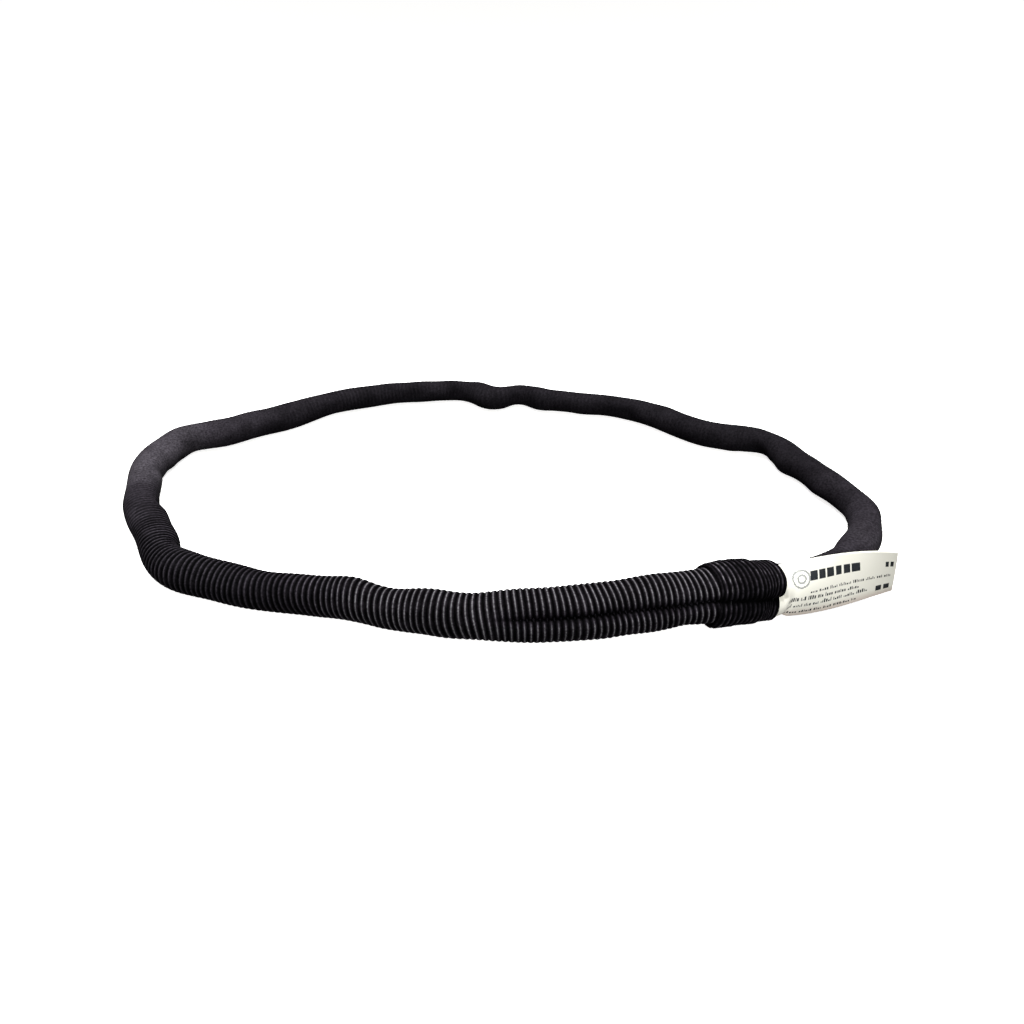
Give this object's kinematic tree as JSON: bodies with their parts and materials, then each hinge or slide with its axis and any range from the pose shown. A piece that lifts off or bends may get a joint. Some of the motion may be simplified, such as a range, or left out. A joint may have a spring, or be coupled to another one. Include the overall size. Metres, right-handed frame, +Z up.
{
  "type": "round sling",
  "caption": "Endless round lifting sling: black woven tubular jacket over a yarn core, laid flat as a loop, with a joint sleeve and a folded label.",
  "frame": {"origin": "on the surface that the sling lies on, under the middle of its bounding box", "axes": "+X along the loop's long way, from the plain bight to the label's end; +Y from the joint sleeve's run across the loop to the other run; +Z up"},
  "size_m": [0.4845, 0.3055, 0.0292],
  "materials": {
    "jacket_cloth": "ribbed woven polyester, matt with a slight sheen on the ribs",
    "sewing_thread": "twisted polyester sewing thread",
    "load_yarn": "natural high-tenacity polyester yarn",
    "yarn_tape": "white adhesive tape",
    "label_fabric": "cream coated label fabric"
  },
  "bodies": {
    "right_half": {"jacket_front": "jacket_cloth", "jacket_right_1": "jacket_cloth", "jacket_right_2": "jacket_cloth", "jacket_right_3": "jacket_cloth", "jacket_right_4": "jacket_cloth", "jacket_right_5": "jacket_cloth", "joint_sleeve": "jacket_cloth", "jacket_seam_thread": "sewing_thread", "sleeve_thread_left": "sewing_thread", "sleeve_thread_right": "sewing_thread", "core_end_tape": "yarn_tape", "core_yarn_right_1": "load_yarn", "core_yarn_right_2": "load_yarn", "core_yarn_right_3": "load_yarn", "core_yarn_right_4": "load_yarn", "core_yarn_right_5": "load_yarn", "core_yarn_right_6": "load_yarn", "core_yarn_right_7": "load_yarn"},
    "left_half": {"jacket_left_1": "jacket_cloth", "jacket_left_2": "jacket_cloth", "jacket_left_3": "jacket_cloth", "jacket_left_4": "jacket_cloth", "jacket_left_5": "jacket_cloth", "jacket_left_6": "jacket_cloth", "core_yarn_left_1": "load_yarn", "core_yarn_left_2": "load_yarn", "core_yarn_left_3": "load_yarn", "core_yarn_left_4": "load_yarn", "core_yarn_left_5": "load_yarn", "core_yarn_left_6": "load_yarn", "core_yarn_left_7": "load_yarn"},
    "label": {"label": "label_fabric", "label_tack_thread": "sewing_thread"}
  },
  "joints": [
    {"name": "loop_fold", "type": "hinge", "parent": "right_half", "child": "left_half", "pos_m": [0.0045, 0, 0.0225], "axis": [0, 1, 0], "range_deg": [0, 170]},
    {"name": "label_flap", "type": "hinge", "parent": "right_half", "child": "label", "pos_m": [0.15675, -0.13, 0.01625], "axis": [0.0187, -0.2993, -0.954], "range_deg": [0, 80], "stiffness_Nm_per_rad": 0.001}
  ]
}
